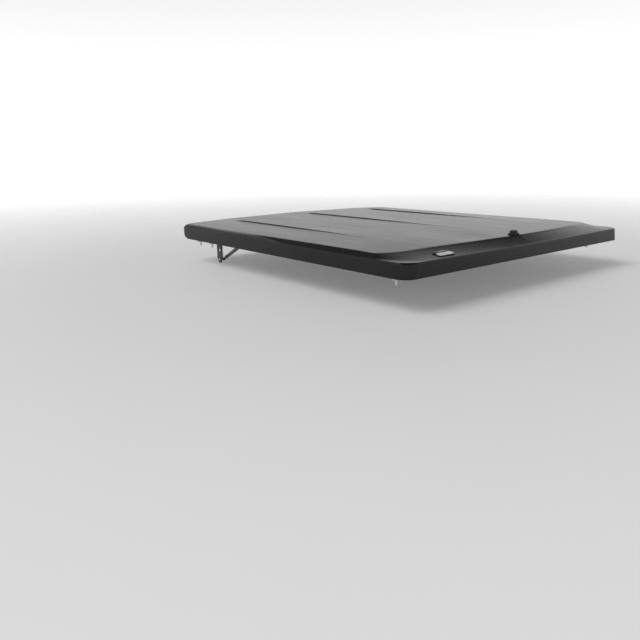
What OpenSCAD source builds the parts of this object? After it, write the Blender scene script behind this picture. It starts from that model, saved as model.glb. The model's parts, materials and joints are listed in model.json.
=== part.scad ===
// Hinged hard tonneau cover for a short pickup bed, with its bed-side hinges, gas struts and latches.
// Frame: X across the truck, Y towards the cab, Z up. The origin is the centre of the bed opening,
// in the plane of the bed rails' tops. Everything is drawn closed and unlatched.

/* [Cover] */
// Overall length, from the tailgate end to the cab end
cover_l = 1868; // [1800:1:1900]
// Overall width across the side skirts
cover_w = 1754; // [1740:1:1770]
// How far the skirt hangs below the bed rails' tops
skirt_drop = 25; // [15:1:35]
// Height of the deck's side edges above the rails
deck_edge_z = 61.5; // [58:0.5:68]
// Rise of the deck from its side edges to its centre line
crown = 16.5; // [12:0.5:22]
// Plan radius of the deck's rear corners
deck_corner_r = 160; // [120:5:180]
// Wall of the outer shell
shell_t = 4; // [3:0.5:5]
// Distance of each side crease from the centre line
crease_x = 570; // [500:5:600]
// Height of the raised creases at the cab end
crease_h = 5; // [0:0.5:6]

/* [Liner] */
// Height of the liner's floor above the rails
liner_z = 14; // [13:0.5:16]
// Wall of the moulded liner
liner_t = 3; // [2:0.5:4]

/* [Hinge] */
// Distance of the hinge axis from the cover's centre, towards the cab
hinge_y = 912; // [910:1:914]
// Height of the hinge axis above the rails
hinge_z = 14; // [13:0.5:15]
// Diameter of the quick-release hinge pins
pin_d = 10; // [8:0.5:10]
// Radial running clearance of pins, rods and spindle in their bores
run_gap = 0.06; // [0.02:0.01:0.1]

/* [Struts] */
// Distance from the centre line to each gas strut
strut_x = 745; // [743:1:746]
// Bed-side ball: how far towards the cab
bed_ball_y = 660; // [650:1:670]
// Bed-side ball: height
bed_ball_z = -140; // [-145:1:-130]
// Cover-side ball: how far towards the cab
lid_ball_y = 400; // [395:1:405]
// Cover-side ball: height
lid_ball_z = -6; // [-8:1:-4]
// Diameter of the strut's tube
tube_d = 22; // [18:1:22]
// Diameter of the strut's rod
rod_d = 8; // [6:0.5:10]

/* [Latch] */
// Lock's place across the cover
lock_x = -20; // [-25:1:10]
// Lock's place along the cover
lock_y = -840; // [-850:1:-838]
// Diameter of the turn knob
knob_d = 38; // [37:1:44]
// Travel of each latch rod
latch_travel = 18; // [14:1:20]
// Diameter of the latch rods
latch_rod_d = 8; // [6:0.5:8]

/* [Rail hardware] */
// Half the clear width between the bed rails' inner edges
rail_inner_x = 770; // [768:1:772]
// Thickness of the pressed brackets
bracket_t = 4; // [3:0.5:4]
// Depth of each clamp's throat below the rail's top
throat = 25; // [20:1:30]

/* [Hidden] */

$fn = 48;
eps = 0.01;

half_w = cover_w / 2;
half_l = cover_l / 2;

// ---- Outer shell: closed rings from the skirt's lower edge up to the deck, then a grid ----

half_corner = 4;                                   // segments in half a rounded corner
ring_side = [0, 1, 3, 13, 21, 28, 34, 46];         // each ring's inset from the side
ring_rear = [0, 1.5, 4, 10, 29, 62, 70, 84];       // inset from the tailgate end
ring_front = [0, 1, 3, 8, 12, 17, 22, 34];         // inset from the cab end
ring_corner = [57, 70, 85, deck_corner_r + 5, deck_corner_r + 3, deck_corner_r,
               deck_corner_r - 4, deck_corner_r - 10];
ring_front_corner = [45, 44, 42, 40, 36, 34, 32, 30];
bow_share = [0, 0, 0, 0, 0.3, 0.8, 0.95, 1];          // share of the rear rim's bow
rim_bow = 70;                                      // rim's bow towards the cab, 650 off the centre
rise_ledge = [0, 0, 0, 0.04, 0.3, 0.82, 0.98, 1];      // rise above a flat ledge
rise_shoulder = [0, 0, 0, 0.55, 0.8, 0.93, 0.985, 1];  // rise above a rounded shoulder
wall_in = [1, 1, 1, 0.6, 0.5, 0.5, 0.2, 0];            // share of the wall taken inwards
wall_down = [0, 0.2, 0.9, 1, 1, 0.9, 1, 1];            // share of the wall taken downwards
last_ring = 7;
front_lip_z = 16;                                  // lower edge of the shell at the cab end
crease_half = 13;                                  // half the width of a crease

deck_half = half_w - ring_side[last_ring];
cross_stops = [-crease_x - crease_half, -crease_x, crease_half - crease_x, -280, -crease_half, 0,
               crease_half, 280, crease_x - crease_half, crease_x, crease_x + crease_half];
straight_rear = -half_l + ring_rear[last_ring] + ring_corner[last_ring];
straight_front = half_l - ring_front[last_ring] - ring_front_corner[last_ring];
side_stops = [for (y = [straight_rear, -560, -400, -200, 0, 200, 400, 600, 760, straight_front])
                 (y - straight_rear) / (straight_front - straight_rear)];
nx = len(cross_stops) + 1 + 2 * half_corner;
ny = len(side_stops) - 1 + 2 * half_corner;
loop = 2 * (nx + ny);

function ease(t) = t <= 0 ? 0 : t >= 1 ? 1 : t * t * (3 - 2 * t);
function mix(a, b, t) = a + (b - a) * t;
function arc(cx, cy, r, a) = [cx + r * cos(a), cy + r * sin(a)];

// Cross-crown: two flat panels each side of the centre line, folded at the creases
function fold(x) = abs(x) < crease_x ? mix(1, 0.56, abs(x) / crease_x)
    : mix(0.56, 0, (abs(x) - crease_x) / (deck_half - crease_x));
function ridge(d) = 1 - ease(abs(d) / crease_half);
function crease(x, y) =
    crease_h * ease((800 - y) / 90) * (ridge(x) * ease((y + 720) / 1100)
        + ridge(abs(x) - crease_x) * ease((y + 580) / 900));
function deck(x, y) = deck_edge_z + crown * fold(x) + crease(x, y) - 3 * ease((-y - 560) / 300);
function ledge(x, y) = 36 + 6 * pow(x / half_w, 2) + 12 * ease((y + 200) / 420) - 8 * ease((y - 250) / 600);
function skirt(y) = mix(-skirt_drop, front_lip_z, ease((y - half_l + 60) / 45));

function cross_stop(j, reach) = j == half_corner ? -reach
    : j == nx - half_corner ? reach : cross_stops[j - half_corner - 1];
// The tailgate end's edge and its corners bow towards the cab, away from the centre line
function bowed(p, y, r, bow) =
    [p.x, p.y + bow * pow(abs(p.x) / 650, 1.2) * max(0, y + r - p.y) / r];
function outline(k, hx, yr, yf, rr, rf, bow) = bowed(loop_point(k, hx, yr, yf, rr, rf), yr, rr, bow);
function loop_point(k, hx, yr, yf, rr, rf) =
    k < nx ? rear_edge(k, hx, yr, rr)
    : k < nx + ny ? side_edge(k - nx, hx, yr, yf, rr, rf)
    : k < 2 * nx + ny ? front_edge(k - nx - ny, hx, yf, rf)
    : let (p = side_edge(loop - k, hx, yr, yf, rr, rf)) [-p.x, p.y];
function rear_edge(j, hx, yr, r) =
    j < half_corner ? arc(r - hx, yr + r, r, 225 + 45 * j / half_corner)
    : j <= nx - half_corner ? [cross_stop(j, hx - r), yr]
    : arc(hx - r, yr + r, r, 270 + 45 * (j - nx + half_corner) / half_corner);
function side_edge(j, hx, yr, yf, rr, rf) =
    j < half_corner ? arc(hx - rr, yr + rr, rr, 315 + 45 * j / half_corner)
    : j <= ny - half_corner ? [hx, mix(yr + rr, yf - rf, side_stops[j - half_corner])]
    : arc(hx - rf, yf - rf, rf, 45 * (j - ny + half_corner) / half_corner);
function front_edge(j, hx, yf, r) =
    j < half_corner ? arc(hx - r, yf - r, r, 45 + 45 * j / half_corner)
    : j <= nx - half_corner ? [-cross_stop(j, hx - r), yf]
    : arc(r - hx, yf - r, r, 90 + 45 * (j - nx + half_corner) / half_corner);

// Height of a ring at a plan point: a ledge along the rear half, a rounded shoulder further forward
function ring_z(i, x, y) =
    i == 0 ? skirt(y)
    : i == 1 ? ledge(x, y) - 4
    : mix(ledge(x, y), deck(x, y), mix(rise_ledge[i], rise_shoulder[i], ease((y + 150) / 400)));
function ring_point(i, k, t) =
    let (a = t * wall_in[i],
         bow = rim_bow * bow_share[i],
         p = outline(k, half_w - ring_side[i], ring_rear[i] - half_l, half_l - ring_front[i],
                     ring_corner[i], ring_front_corner[i], bow),
         q = outline(k, half_w - ring_side[i] - a, ring_rear[i] + a - half_l,
                     half_l - ring_front[i] - a, ring_corner[i] - a, ring_front_corner[i] - a, bow))
    [q.x, q.y, ring_z(i, p.x, p.y) - t * wall_down[i]];
function border(k) = outline(k % loop, deck_half, ring_rear[last_ring] - half_l,
                             half_l - ring_front[last_ring], ring_corner[last_ring],
                             ring_front_corner[last_ring], rim_bow);
// A point inside the deck: straight lines from the rear edge to the front one, bowed out at the sides
function deck_point(i, j, t) =
    let (left = border(loop - j), right = border(nx + j), base = border(0),
         v = (left.y - base.y) / (border(2 * nx + ny).y - base.y),
         p = mix(border(i), border(2 * nx + ny - i), v),
         bow = right.x - mix(border(nx).x, border(nx + ny).x, v),
         share = max(0, (i - nx + half_corner) / half_corner) - max(0, 1 - i / half_corner))
    [p.x + share * bow, p.y, deck(p.x + share * bow, p.y) - t];
function skin(t) = concat(
    [for (i = [0 : last_ring], k = [0 : loop - 1]) ring_point(i, k, t)],
    [for (j = [1 : ny - 1], i = [1 : nx - 1]) deck_point(i, j, t)]);
skin_points = (last_ring + 1) * loop + (nx - 1) * (ny - 1);
function ring_id(i, k) = i * loop + k % loop;
function deck_id(i, j) =
    j == 0 ? ring_id(last_ring, i)
    : i == nx ? ring_id(last_ring, nx + j)
    : j == ny ? ring_id(last_ring, 2 * nx + ny - i)
    : i == 0 ? ring_id(last_ring, loop - j)
    : (last_ring + 1) * loop + (j - 1) * (nx - 1) + i - 1;
// Two triangles for each quad; flip turns a wall inside out
function quad(a, b, c, d, flip) = flip ? [[a, b, c], [a, c, d]] : [[c, b, a], [d, c, a]];
function skin_faces(start, flip) = [
    for (i = [0 : last_ring - 1], k = [0 : loop - 1])
        each quad(start + ring_id(i, k), start + ring_id(i, k + 1),
                  start + ring_id(i + 1, k + 1), start + ring_id(i + 1, k), flip),
    for (j = [0 : ny - 1], i = [0 : nx - 1])
        each quad(start + deck_id(i, j), start + deck_id(i + 1, j),
                  start + deck_id(i + 1, j + 1), start + deck_id(i, j + 1), flip)];
rim_faces = [for (k = [0 : loop - 1])
    each quad(skin_points + ring_id(0, k), skin_points + ring_id(0, k + 1),
              ring_id(0, k + 1), ring_id(0, k), false)];

// ---- Shared small shapes ----

module rounded(w, l, r) {
    square([w - 2 * r, l], center = true);
    square([w, l - 2 * r], center = true);
    for (sx = [-1, 1], sy = [-1, 1]) translate([sx * (w / 2 - r), sy * (l / 2 - r)]) circle(r);
}
module slab(w, l, h, r) { linear_extrude(h) rounded(w, l, r); }
module span(x0, x1, y0, y1, z0, z1) { translate([x0, y0, z0]) cube([x1 - x0, y1 - y0, z1 - z0]); }
module rod_x(x0, x1, y, z, r) { translate([x0, y, z]) rotate([0, 90, 0]) cylinder(h = x1 - x0, r = r); }
module post(x, y, z0, z1, r) { translate([x, y, z0]) cylinder(h = z1 - z0, r = r); }
module left() { mirror([1, 0, 0]) children(); }
module both() { children(); left() children(); }

// ---- Lid: shell, liner and reinforcements ----

lock_hole_r = 14.2;
lid_bolt_r = 4;
liner_w = 2 * half_w - 64;                   // liner's outer width
liner_rear = -half_l + 22;
liner_front = 895;
liner_mid = (liner_rear + liner_front) / 2;
liner_top = liner_z + liner_t;
strip_h = 17;                                // height of the strips that close the lid's edge
rib_w = 70;                                  // width of the box ribs
rib_t = 2.5;
rib_x = [-600, -300, 0, 300, 600];
rib_rear = -720;
rib_front = 780;
front_bar_y = 840;
rear_bar_y = -775;
bar_w = 50;
bar_h = 22;
bar_t = 2;
bar_l = 1610;
arm_x = 775;                                 // centre of each hinge arm
arm_bolt_y = [800, 838, 885];
mount_bolt_y = [lid_ball_y - 24, lid_ball_y + 36];
mount_x = 742;                               // centre of each strut mount's flange
arm_bolts = [for (y = arm_bolt_y) [arm_x, y]];
mount_bolts = [for (y = mount_bolt_y) [mount_x - 6, y]];

module outer_shell() {
    color([0.09, 0.09, 0.1])
    difference() {
        polyhedron(points = concat(skin(0), skin(shell_t)),
                   faces = concat(skin_faces(0, false), skin_faces(skin_points, true), rim_faces),
                   convexity = 6);
        post(lock_x, lock_y, 40, 110, lock_hole_r);
    }
}

module inner_liner() {
    color([0.16, 0.16, 0.17])
    difference() {
        translate([0, liner_mid, liner_z]) slab(liner_w, liner_front - liner_rear, liner_t, 4);
        post(lock_x, lock_y, 0, 30, lock_hole_r);
        both() for (p = concat(arm_bolts, mount_bolts)) post(p.x, p.y, 0, 30, lid_bolt_r + 0.3);
    }
}

// Four upright strips that close the edge of the lid between the liner and the shell
module edge_strips() {
    strip_x = liner_w / 2 - 1;
    strip_top = liner_top + strip_h;
    color([0.14, 0.14, 0.15]) {
        both() span(strip_x - liner_t, strip_x, liner_rear + 5, liner_front - 5, liner_top, strip_top);
        span(-strip_x, strip_x, liner_rear + 1, liner_rear + 1 + liner_t, liner_top, strip_top);
        span(-strip_x, strip_x, liner_front - 1 - liner_t, liner_front - 1, liner_top, strip_top);
    }
}

// Box ribs glued between the liner and the shell; the shell falls away from the centre line
module liner_ribs() {
    color([0.14, 0.14, 0.15]) for (x = rib_x) {
        rib_top = deck_edge_z + crown * fold(abs(x) + rib_w / 2) - shell_t - 2.3;
        difference() {
            span(x - rib_w / 2, x + rib_w / 2, rib_rear, rib_front, liner_top, rib_top);
            span(x - rib_w / 2 + rib_t, x + rib_w / 2 - rib_t, rib_rear - 1, rib_front + 1,
                 liner_top + rib_t, rib_top - rib_t);
        }
    }
}

module crossbar(y) {
    difference() {
        span(-bar_l / 2, bar_l / 2, y - bar_w / 2, y + bar_w / 2,
             liner_top, liner_top + bar_h);
        span(-bar_l / 2 - 1, bar_l / 2 + 1, y - bar_w / 2 + bar_t, y + bar_w / 2 - bar_t,
             liner_top + bar_t, liner_top + bar_h - bar_t);
        both() for (p = arm_bolts) post(p.x, p.y, 0, 25, lid_bolt_r + 0.3);
    }
}
module front_crossbar() { color([0.7, 0.71, 0.72]) crossbar(front_bar_y); }
module rear_crossbar() { color([0.7, 0.71, 0.72]) crossbar(rear_bar_y); }

// ---- Hinge: the arm on the lid, the base on the rail, and the pin between them ----

pin_r = pin_d / 2;
knuckle_r = pin_r + 4;
knuckle_x0 = 759;
knuckle_x1 = 791;
ear_t = 6;
ear_gap = 1;
arm_z = liner_z - 5;                         // underside of the hinge arms

module hinge_arm() {
    difference() {
        union() {
            rod_x(knuckle_x0, knuckle_x1, hinge_y, hinge_z, knuckle_r);
            span(knuckle_x0, knuckle_x1, 785, hinge_y, arm_z, liner_z);
        }
        rod_x(knuckle_x0 - 1, knuckle_x1 + 1, hinge_y, hinge_z, pin_r + run_gap);
        for (p = arm_bolts) post(p.x, p.y, 0, 30, lid_bolt_r + 0.1);
    }
}
module hinge_arm_right() { color([0.12, 0.12, 0.12]) hinge_arm(); }
module hinge_arm_left() { color([0.12, 0.12, 0.12]) left() hinge_arm(); }

module hinge_ear(x) {
    rod_x(x, x + ear_t, hinge_y, hinge_z, knuckle_r);
    span(x, x + ear_t, hinge_y - knuckle_r, hinge_y + knuckle_r, 0, hinge_z);
}
module hinge_base() {
    difference() {
        union() {
            span(rail_inner_x, 800, clamp_spots[0] - 22, 896, 0, bracket_t);
            span(knuckle_x0 - ear_gap - ear_t, 800, 890, 926, 0, bracket_t);
            hinge_ear(knuckle_x0 - ear_gap - ear_t);
            hinge_ear(knuckle_x1 + ear_gap);
        }
        rod_x(700, 900, hinge_y, hinge_z, pin_r + run_gap);
    }
}
module hinge_base_right() { color([0.13, 0.13, 0.13]) hinge_base(); }
module hinge_base_left() { color([0.13, 0.13, 0.13]) left() hinge_base(); }

module hinge_pin() {
    pin_end = knuckle_x1 + ear_gap + ear_t + 4;
    difference() {
        union() {
            rod_x(748, pin_end, hinge_y, hinge_z, pin_r);
            rod_x(740, 748, hinge_y, hinge_z, 9);
            rod_x(736, 740, hinge_y, hinge_z, 7);
        }
        for (a = [0 : 30 : 330])
            rod_x(739, 747, hinge_y + 9.6 * cos(a), hinge_z + 9.6 * sin(a), 1.4);
    }
}
module hinge_pin_right() { color([0.72, 0.73, 0.74]) hinge_pin(); }
module hinge_pin_left() { color([0.72, 0.73, 0.74]) left() hinge_pin(); }

// ---- Gas struts ----

strut_dy = lid_ball_y - bed_ball_y;
strut_dz = lid_ball_z - bed_ball_z;
strut_l = sqrt(strut_dy * strut_dy + strut_dz * strut_dz);
strut_tilt = atan2(strut_dz, strut_dy) - 90;
ball_r = 5;
socket_r = 9;
socket_w = 12;
rod_start = 16;
tube_start = 34;
tube_end = strut_l - 20;
tube_wall = 1.5;
gland_l = 18;
rod_inner_end = tube_end - 16;
leg_face_x = 768;                        // inboard face of the strut base's leg
mount_ear_x = 760;                       // inboard face of the strut mount's ear
shank_r = 3.5;

// Children are drawn with Z along the strut, from the bed-side ball towards the lid
module along_strut() { translate([strut_x, bed_ball_y, bed_ball_z]) rotate([strut_tilt, 0, 0]) children(); }

module strut_rod() {
    along_strut() translate([0, 0, rod_start]) cylinder(h = rod_inner_end - rod_start, d = rod_d);
}
module strut_rod_right() { color([0.85, 0.85, 0.86]) strut_rod(); }
module strut_rod_left() { color([0.85, 0.85, 0.86]) left() strut_rod(); }

module strut_piston() {
    along_strut() translate([0, 0, rod_inner_end - 12]) difference() {
        cylinder(h = 10, r = tube_d / 2 - tube_wall - run_gap);
        translate([0, 0, -1]) cylinder(h = 12, d = rod_d);
    }
}
module strut_piston_right() { color([0.6, 0.6, 0.6]) strut_piston(); }
module strut_piston_left() { color([0.6, 0.6, 0.6]) left() strut_piston(); }

module strut_tube() {
    along_strut() translate([0, 0, tube_start]) difference() {
        cylinder(h = tube_end - tube_start, d = tube_d);
        translate([0, 0, -1]) cylinder(h = tube_end - tube_start - 2, d = tube_d - 2 * tube_wall);
    }
}
module strut_tube_right() { color([0.07, 0.07, 0.07]) strut_tube(); }
module strut_tube_left() { color([0.07, 0.07, 0.07]) left() strut_tube(); }

module strut_gland() {
    along_strut() translate([0, 0, tube_start + 1]) difference() {
        cylinder(h = gland_l, r = tube_d / 2 - tube_wall);
        translate([0, 0, -1]) cylinder(h = gland_l + 2, r = rod_d / 2 + run_gap);
    }
}
module strut_gland_right() { color([0.3, 0.3, 0.3]) strut_gland(); }
module strut_gland_left() { color([0.3, 0.3, 0.3]) left() strut_gland(); }

// A ball cup with a neck along the strut; its mouth faces outboard, so side is 1 for right, -1 for left
module ball_socket(side, at, neck_from, neck_to, neck_r) {
    color([0.05, 0.05, 0.05])
    translate([side * strut_x, bed_ball_y, bed_ball_z]) rotate([strut_tilt, 0, 0]) difference() {
        union() {
            translate([-socket_w / 2, 0, at]) rotate([0, 90, 0]) cylinder(h = socket_w, r = socket_r);
            translate([0, 0, neck_from]) cylinder(h = neck_to - neck_from, r = neck_r);
        }
        translate([0, 0, at]) sphere(r = ball_r + 0.3);
        translate([0, 0, at]) rotate([0, side * 90, 0]) cylinder(h = socket_w, r = shank_r + 1);
    }
}
module strut_socket_lower_right() { ball_socket(1, 0, 7, rod_start, 6); }
module strut_socket_lower_left() { ball_socket(-1, 0, 7, rod_start, 6); }
module strut_socket_upper_right() { ball_socket(1, strut_l, tube_end, strut_l - 7, 7); }
module strut_socket_upper_left() { ball_socket(-1, strut_l, tube_end, strut_l - 7, 7); }

// Ball, shank and collar are one turned piece; the nut is on the leg's other face
module ball_studs_lower() {
    shank_l = leg_face_x - strut_x;
    color([0.75, 0.75, 0.76]) both() {
        translate([strut_x, bed_ball_y, bed_ball_z]) rotate([0, 90, 0]) rotate_extrude() {
            intersection() {
                circle(ball_r);
                translate([0, -ball_r]) square(2 * ball_r);
            }
            square([shank_r, shank_l]);
            translate([0, shank_l - 5]) square([7, 5]);
        }
        rod_x(leg_face_x + bracket_t, leg_face_x + bracket_t + 5, bed_ball_y, bed_ball_z, 7);
    }
}
// The lid-side studs stop just short of the cup's mouth: this is the linkage's open pivot
module ball_studs_upper() {
    mouth_x = strut_x + socket_w / 2 + 0.4;
    color([0.75, 0.75, 0.76]) both() {
        rod_x(mouth_x, mount_ear_x, lid_ball_y, lid_ball_z, shank_r);
        rod_x(mount_ear_x - 3, mount_ear_x, lid_ball_y, lid_ball_z, 6);
        rod_x(mount_ear_x + bracket_t, mount_ear_x + bracket_t + 3, lid_ball_y, lid_ball_z, 6);
    }
}

module strut_base() {
    leg_w = 60;
    span(leg_face_x, 800, bed_ball_y - 35, clamp_spots[1] + 22, 0, bracket_t);
    difference() {
        union() {
            span(leg_face_x, leg_face_x + bracket_t, bed_ball_y - leg_w / 2, bed_ball_y + leg_w / 2,
                 bed_ball_z, bracket_t);
            rod_x(leg_face_x, leg_face_x + bracket_t, bed_ball_y, bed_ball_z, leg_w / 2 - 8);
        }
        for (z = [-40, -85]) rod_x(leg_face_x - 1, leg_face_x + bracket_t + 1, bed_ball_y, z, 9);
    }
}
module strut_base_right() { color([0.13, 0.13, 0.13]) strut_base(); }
module strut_base_left() { color([0.13, 0.13, 0.13]) left() strut_base(); }

module strut_mount() {
    flange_z = liner_z - bracket_t;
    difference() {
        union() {
            span(mount_x - 18, mount_ear_x + bracket_t, lid_ball_y - 36, lid_ball_y + 48, flange_z, liner_z);
            span(mount_ear_x, mount_ear_x + bracket_t, lid_ball_y - 14, lid_ball_y + 14, lid_ball_z, liner_z);
            rod_x(mount_ear_x, mount_ear_x + bracket_t, lid_ball_y, lid_ball_z, 14);
        }
        for (p = mount_bolts) post(p.x, p.y, 0, 30, lid_bolt_r + 0.1);
    }
}
module strut_mount_right() { color([0.13, 0.13, 0.13]) strut_mount(); }
module strut_mount_left() { color([0.13, 0.13, 0.13]) left() strut_mount(); }

// ---- Fasteners, stops and seals of the lid ----

module button_bolt(p, seat) {
    post(p.x, p.y, seat - 3.6, seat, 7);
    post(p.x, p.y, seat - eps, 32, lid_bolt_r);
}
module lid_bolts() {
    color([0.65, 0.66, 0.67]) both() difference() {
        union() {
            for (p = arm_bolts) button_bolt(p, arm_z);
            for (p = mount_bolts) button_bolt(p, liner_z - bracket_t);
        }
        for (p = arm_bolts) translate([p.x, p.y, arm_z - 4]) cylinder(h = 3, r = 2.5, $fn = 6);
        for (p = mount_bolts)
            translate([p.x, p.y, liner_z - bracket_t - 4]) cylinder(h = 3, r = 2.5, $fn = 6);
    }
}

module liner_screws() {
    color([0.1, 0.1, 0.1]) both() {
        for (y = [-690, -560, -250, -120, 200, 330, 620, 750]) post(690, y, liner_z - 1.6, liner_z, 6);
        for (x = [150, 450]) for (y = [-850, 850]) post(x, y, liner_z - 1.6, liner_z, 6);
    }
}

module bump_stops() {
    color([0.04, 0.04, 0.04]) both() difference() {
        post(786, -740, 0, liner_z, 11);
        post(786, -740, -1, 5, 4);
    }
}

seal_x = 812;
bulb_r = 5.8;
module seal_profile() {
    difference() {
        union() {
            translate([-9, liner_z - 3]) square([18, 3]);
            translate([0, bulb_r]) circle(bulb_r);
        }
        translate([0, bulb_r]) circle(bulb_r - 1.6);
    }
}
module side_seal() {
    translate([seal_x, liner_front - 4, 0]) rotate([90, 0, 0])
        linear_extrude(liner_front - 4 - liner_rear - 4) seal_profile();
}
module seal_right() { color([0.03, 0.03, 0.03]) side_seal(); }
module seal_left() { color([0.03, 0.03, 0.03]) left() side_seal(); }
module seal_rear() {
    rear_l = 2 * (seal_x - 10);
    color([0.03, 0.03, 0.03]) translate([-rear_l / 2, -half_l + 38, 0]) rotate([90, 0, 90])
        linear_extrude(rear_l) seal_profile();
}
// A tube glued inside the cab-end lip
module seal_front() {
    color([0.03, 0.03, 0.03]) difference() {
        union() {
            rod_x(-728, 728, 925, 7, 4.8);
            span(-728, 728, 926.6, 929.2, 7, 24);
        }
        rod_x(-729, 729, 925, 7, 3);
    }
}

// ---- Lock and latch rods ----

deck_at_lock = deck_edge_z + crown * fold(0) - 2.8;
gasket_t = 1.5;
housing_z = deck_at_lock + gasket_t;
housing_h = 4;
knob_z = housing_z + housing_h + 0.3;
knob_h = 12;
plug_r = 8;
collar_r = 13.8;
spindle_r = 9;
cam_z = 3;
cam_r = 20;
crank_r = latch_travel / 2 / sin(45);    // so that a quarter turn gives the rods' travel
crank_pin_r = 2.5;
latch_z = -2;
latch_r = latch_rod_d / 2;
rod_offset = 11;                         // each rod's distance from the lock's centre, along Y
rod_tip_x = 743;                         // outer end of each retracted rod
tip_r = 6;
tip_l = 22;
guide_x = [300, 640];

module at_lock(z) { translate([lock_x, lock_y, z]) children(); }

module lock_gasket() {
    color([0.03, 0.03, 0.03]) at_lock(deck_at_lock) difference() {
        slab(48, 44, gasket_t, 10);
        translate([0, 0, -1]) cylinder(h = gasket_t + 2, r = lock_hole_r);
    }
}
module lock_housing() {
    color([0.04, 0.04, 0.045]) at_lock(housing_z) difference() {
        union() {
            slab(44, 40, housing_h, 9);
            translate([0, 0, -22]) cylinder(h = 23, r = collar_r);
        }
        translate([0, 0, -23]) cylinder(h = 30, r = spindle_r + run_gap);
    }
}
module lock_nut() {
    color([0.6, 0.61, 0.62]) at_lock(deck_at_lock - shell_t - 7.4) difference() {
        cylinder(h = 6, r = 20, $fn = 6);
        translate([0, 0, -1]) cylinder(h = 8, r = collar_r);
    }
}
module lock_knob() {
    color([0.05, 0.05, 0.055]) at_lock(knob_z) difference() {
        union() {
            cylinder(h = knob_h - 2, d = knob_d);
            translate([0, 0, knob_h - 2]) cylinder(h = 2, d = knob_d - 3);
        }
        for (a = [0 : 30 : 330])
            rotate([0, 0, a]) translate([knob_d / 2 + 2.4, 0, -1]) cylinder(h = knob_h + 2, r = 4.5);
        translate([0, 0, 2]) cylinder(h = knob_h, r = plug_r + run_gap);
        translate([14.5, 0, knob_h - 6]) cylinder(h = 8, r = 1.5 + run_gap);
    }
}
module lock_spindle() {
    color([0.62, 0.63, 0.64]) at_lock(0) {
        translate([0, 0, cam_z + 4]) cylinder(h = knob_z - cam_z - 4, r = spindle_r);
        translate([0, 0, cam_z]) cylinder(h = 5, r = 5);
        translate([0, 0, cam_z - 0.8]) cylinder(h = 1, r = 3);
    }
}
module lock_cam() {
    color([0.7, 0.7, 0.7]) at_lock(cam_z) {
        difference() {
            cylinder(h = 4, r = cam_r);
            translate([0, 0, -1]) cylinder(h = 6, r = 5);
        }
        for (s = [-1, 1]) translate([-s * crank_r * sin(45), s * crank_r * cos(45), -9])
            cylinder(h = 9 + eps, r = crank_pin_r);
    }
}
module key_plug() {
    color([0.7, 0.68, 0.62]) at_lock(knob_z + 2) difference() {
        cylinder(h = knob_h - 3, r = plug_r);
        translate([-0.9, -5, knob_h - 9]) cube([1.8, 10, 10]);
    }
}
module lock_cap() {
    color([0.05, 0.05, 0.055]) at_lock(knob_z + knob_h) {
        translate([0, 0, 0.2]) linear_extrude(1.8) {
            circle(plug_r + 2.5);
            translate([7, 0]) square([14, 8], center = true);
            translate([14.5, 0]) circle(4);
        }
        translate([14.5, 0, -5]) cylinder(h = 6, r = 1.5);
    }
}

// Drawn for the right-hand rod; side is 1 for right and -1 for left
module latch_rod(side) {
    y = lock_y + side * rod_offset;
    eye_x = lock_x - side * latch_travel / 2;
    slot_y0 = crank_r * cos(45) - crank_pin_r - 0.4;
    slot_y1 = crank_r + crank_pin_r + 0.4;
    difference() {
        union() {
            if (side > 0) rod_x(eye_x, rod_tip_x - 4, y, latch_z, latch_r);
            else rod_x(4 - rod_tip_x, eye_x, y, latch_z, latch_r);
            translate([eye_x, lock_y + side * (slot_y0 + slot_y1) / 2, latch_z])
                cube([15, slot_y1 - slot_y0 + 5, 2 * latch_r], center = true);
        }
        translate([eye_x, lock_y + side * (slot_y0 + slot_y1) / 2, latch_z])
            cube([2 * crank_pin_r + 1.1, slot_y1 - slot_y0, 20], center = true);
    }
}
module latch_rod_right() { color([0.68, 0.69, 0.7]) latch_rod(1); }
module latch_rod_left() { color([0.68, 0.69, 0.7]) latch_rod(-1); }

module rod_tip(y) {
    translate([rod_tip_x - tip_l, y, latch_z]) rotate([0, 90, 0]) difference() {
        union() {
            cylinder(h = tip_l - 3, r = tip_r);
            translate([0, 0, tip_l - 3]) cylinder(h = 3, r1 = tip_r, r2 = tip_r - 2.5);
        }
        translate([0, 0, -1]) cylinder(h = tip_l - 3, r = latch_r);
    }
}
module rod_tip_right() { color([0.85, 0.85, 0.82]) rod_tip(lock_y + rod_offset); }
module rod_tip_left() { color([0.85, 0.85, 0.82]) left() rod_tip(lock_y - rod_offset); }

module rod_guide(x, y) {
    difference() {
        union() {
            span(x - 10, x + 10, y - 9, y + 9, latch_z - 8, liner_z);
            span(x - 18, x + 18, y - 9, y + 9, liner_z - 4, liner_z);
        }
        rod_x(x - 11, x + 11, y, latch_z, latch_r + run_gap);
    }
}
module rod_guides() {
    color([0.8, 0.8, 0.77]) for (x = guide_x) {
        rod_guide(x, lock_y + rod_offset);
        rod_guide(-x, lock_y - rod_offset);
    }
}

module striker(y) {
    difference() {
        union() {
            span(752, 800, lock_y - 25, lock_y + 25, 0, bracket_t);
            span(rail_inner_x, 800, lock_y, clamp_spots[2] + 20, 0, bracket_t);
            span(752, 752 + bracket_t, lock_y - 25, lock_y + 25, -26, bracket_t);
        }
        rod_x(700, 770, y, latch_z, tip_r + 1);
    }
}
module striker_right() { color([0.13, 0.13, 0.13]) striker(lock_y + rod_offset); }
module striker_left() { color([0.13, 0.13, 0.13]) left() striker(lock_y - rod_offset); }

// ---- Clamps that hold the bed-side brackets to the rails ----

clamp_spots = [862, 722, -798];          // along Y: hinge base, strut base, striker
clamp_w = 30;
clamp_in = 758;
clamp_out = 798;
clamp_wall = 10;
clamp_top = bracket_t + 4.5;
clamp_bottom = -throat - 27;
screw_x = 785;
screw_r = 4;

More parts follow.
